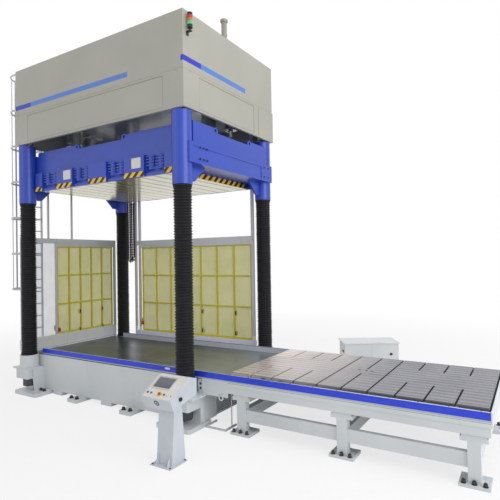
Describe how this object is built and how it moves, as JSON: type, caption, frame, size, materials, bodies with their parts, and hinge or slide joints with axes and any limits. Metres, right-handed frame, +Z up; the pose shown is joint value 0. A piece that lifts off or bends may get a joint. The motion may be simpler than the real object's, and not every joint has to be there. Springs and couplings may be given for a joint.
{
  "type": "hydraulic press",
  "caption": "Four-column hydraulic spotting press with a blue slide on bellows-covered columns, lifting safety gates and a T-slotted table that rolls out on a long bed extension.",
  "frame": {"origin": "on the floor, in the middle of the four anchor holes and of the four columns", "axes": "+X along the front, towards the table's run-out; +Y from the front to the back; +Z up"},
  "size_m": [10.7372, 6.0315, 7.8],
  "materials": {
    "bed_paint": "smooth light grey enamel",
    "deck_steel": "ground and oiled",
    "table_steel": "milled and oiled",
    "rail_steel": "blue side, bare ground top",
    "platen_steel": "ground",
    "slide_blue": "blue enamel",
    "barrel_steel": "turned",
    "column_chrome": "hard chrome, polished",
    "nut_steel": "blackened and worn",
    "crown_paint": "dark green-grey enamel",
    "housing_paint": "light stone grey enamel",
    "inner_paint": "grey enamel",
    "vent_steel": "grey enamel",
    "bellows_rubber": "matt coated cloth",
    "guard_paint": "grey enamel",
    "clear_pane": "clear sheet",
    "gate_yellow": "yellow enamel",
    "gate_sheet": "tinted see-through sheet",
    "chain_plastic": "moulded",
    "pedestal_paint": "light grey enamel",
    "face_steel": "brushed",
    "screen_glass": "glossy",
    "dark_plastic": "moulded",
    "button_blue": "moulded",
    "button_white": "moulded",
    "button_red": "moulded",
    "lens_green": "ribbed lens",
    "lens_amber": "ribbed lens",
    "lens_red": "ribbed lens",
    "cabinet_paint": "light grey enamel"
  },
  "bodies": {
    "press": {"bed_deck": "deck_steel", "bed_frame": "bed_paint", "bed_grille": "bed_paint", "bellows_front_left": "bellows_rubber", "bellows_front_right": "bellows_rubber", "bellows_rear_left": "bellows_rubber", "bellows_rear_right": "bellows_rubber", "cable_chain": "chain_plastic", "column_nuts": "nut_steel", "console_box": "pedestal_paint", "console_face": "face_steel", "console_screen": "screen_glass", "crown_frame": "crown_paint", "cylinder_barrels": "barrel_steel", "extension_end_plate": "bed_paint", "extension_frame": "bed_paint", "extension_stand": "bed_paint", "floor_bolts": "nut_steel", "front_rail": "rail_steel", "gate_interlocks": "dark_plastic", "guide_columns": "column_chrome", "housing_shell": "housing_paint", "housing_skirt": "housing_paint", "ladder": "guard_paint", "left_guard_frame": "guard_paint", "left_guard_pane": "clear_pane", "oil_tank": "inner_paint", "pedestal_stand": "pedestal_paint", "pump_motor": "inner_paint", "rear_guard_frame": "guard_paint", "rear_rail": "rail_steel", "side_cabinet": "cabinet_paint", "signal_housing": "dark_plastic", "signal_lens_amber": "lens_amber", "signal_lens_green": "lens_green", "signal_lens_red": "lens_red", "valve_manifold": "barrel_steel", "vent_pipe": "vent_steel"},
    "slide": {"slide_frame": "slide_blue", "upper_platen": "platen_steel", "guide_sleeves": "slide_blue", "cylinder_rams": "column_chrome"},
    "table": {"table_plate": "table_steel"},
    "left_gate": {"left_gate_frame": "gate_yellow", "left_gate_sheet": "gate_sheet"},
    "rear_gate": {"rear_gate_frame": "gate_yellow", "rear_gate_sheet": "gate_sheet"},
    "knob": {"side_knob": "dark_plastic"},
    "wheelset_1": {"table_wheelset_1": "nut_steel"},
    "wheelset_2": {"table_wheelset_2": "nut_steel"},
    "wheelset_3": {"table_wheelset_3": "nut_steel"},
    "wheelset_4": {"table_wheelset_4": "nut_steel"},
    "button_1": {"push_button_1": "dark_plastic"},
    "button_2": {"push_button_2": "button_blue"},
    "button_3": {"push_button_3": "button_white"},
    "button_4": {"push_button_4": "dark_plastic"},
    "button_5": {"push_button_5": "button_white"},
    "estop_button": {"estop_button": "button_red"}
  },
  "joints": [
    {"name": "slide_stroke", "type": "slide", "parent": "press", "child": "slide", "axis": [0, 0, -1], "range_m": [0, 2], "deforming": ["bellows_front_left", "bellows_front_right", "bellows_rear_left", "bellows_rear_right"]},
    {"name": "table_run", "type": "slide", "parent": "press", "child": "table", "axis": [-1, 0, 0], "range_m": [0, 5.107]},
    {"name": "left_gate_lift", "type": "slide", "parent": "press", "child": "left_gate", "axis": [0, 0, 1], "range_m": [0, 2]},
    {"name": "rear_gate_lift", "type": "slide", "parent": "press", "child": "rear_gate", "axis": [0, 0, 1], "range_m": [0, 2]},
    {"name": "knob_turn", "type": "hinge", "parent": "press", "child": "knob", "pos_m": [3.19, -2.57, 0.96], "axis": [1, 0, 0], "range_deg": [-180, 180]},
    {"name": "wheelset_1_roll", "type": "hinge", "parent": "table", "child": "wheelset_1", "pos_m": [3.757, 0, 0.9403], "axis": [0, 1, 0], "range_deg": [-4510, 10]},
    {"name": "wheelset_2_roll", "type": "hinge", "parent": "table", "child": "wheelset_2", "pos_m": [4.073, 0, 0.9403], "axis": [0, 1, 0], "range_deg": [-4510, 10]},
    {"name": "wheelset_3_roll", "type": "hinge", "parent": "table", "child": "wheelset_3", "pos_m": [6.141, 0, 0.9403], "axis": [0, 1, 0], "range_deg": [-4510, 10]},
    {"name": "wheelset_4_roll", "type": "hinge", "parent": "table", "child": "wheelset_4", "pos_m": [6.457, 0, 0.9403], "axis": [0, 1, 0], "range_deg": [-4510, 10]},
    {"name": "button_1_press", "type": "slide", "parent": "press", "child": "button_1", "axis": [0, 0.5276, -0.8495], "range_m": [0, 0.005], "stiffness_N_per_m": 500},
    {"name": "button_2_press", "type": "slide", "parent": "press", "child": "button_2", "axis": [0, 0.5276, -0.8495], "range_m": [0, 0.005], "stiffness_N_per_m": 500},
    {"name": "button_3_press", "type": "slide", "parent": "press", "child": "button_3", "axis": [0, 0.5276, -0.8495], "range_m": [0, 0.005], "stiffness_N_per_m": 500},
    {"name": "button_4_press", "type": "slide", "parent": "press", "child": "button_4", "axis": [0, 0.5276, -0.8495], "range_m": [0, 0.005], "stiffness_N_per_m": 500},
    {"name": "button_5_press", "type": "slide", "parent": "press", "child": "button_5", "axis": [0, 0.5276, -0.8495], "range_m": [0, 0.005], "stiffness_N_per_m": 500},
    {"name": "estop_button_press", "type": "slide", "parent": "press", "child": "estop_button", "axis": [0, 0.5276, -0.8495], "range_m": [0, 0.005], "stiffness_N_per_m": 900}
  ],
  "couplings": [
    {"joint": "wheelset_1_roll", "follows": "table_run", "rad_per_m": -15.385},
    {"joint": "wheelset_2_roll", "follows": "table_run", "rad_per_m": -15.385},
    {"joint": "wheelset_3_roll", "follows": "table_run", "rad_per_m": -15.385},
    {"joint": "wheelset_4_roll", "follows": "table_run", "rad_per_m": -15.385}
  ]
}
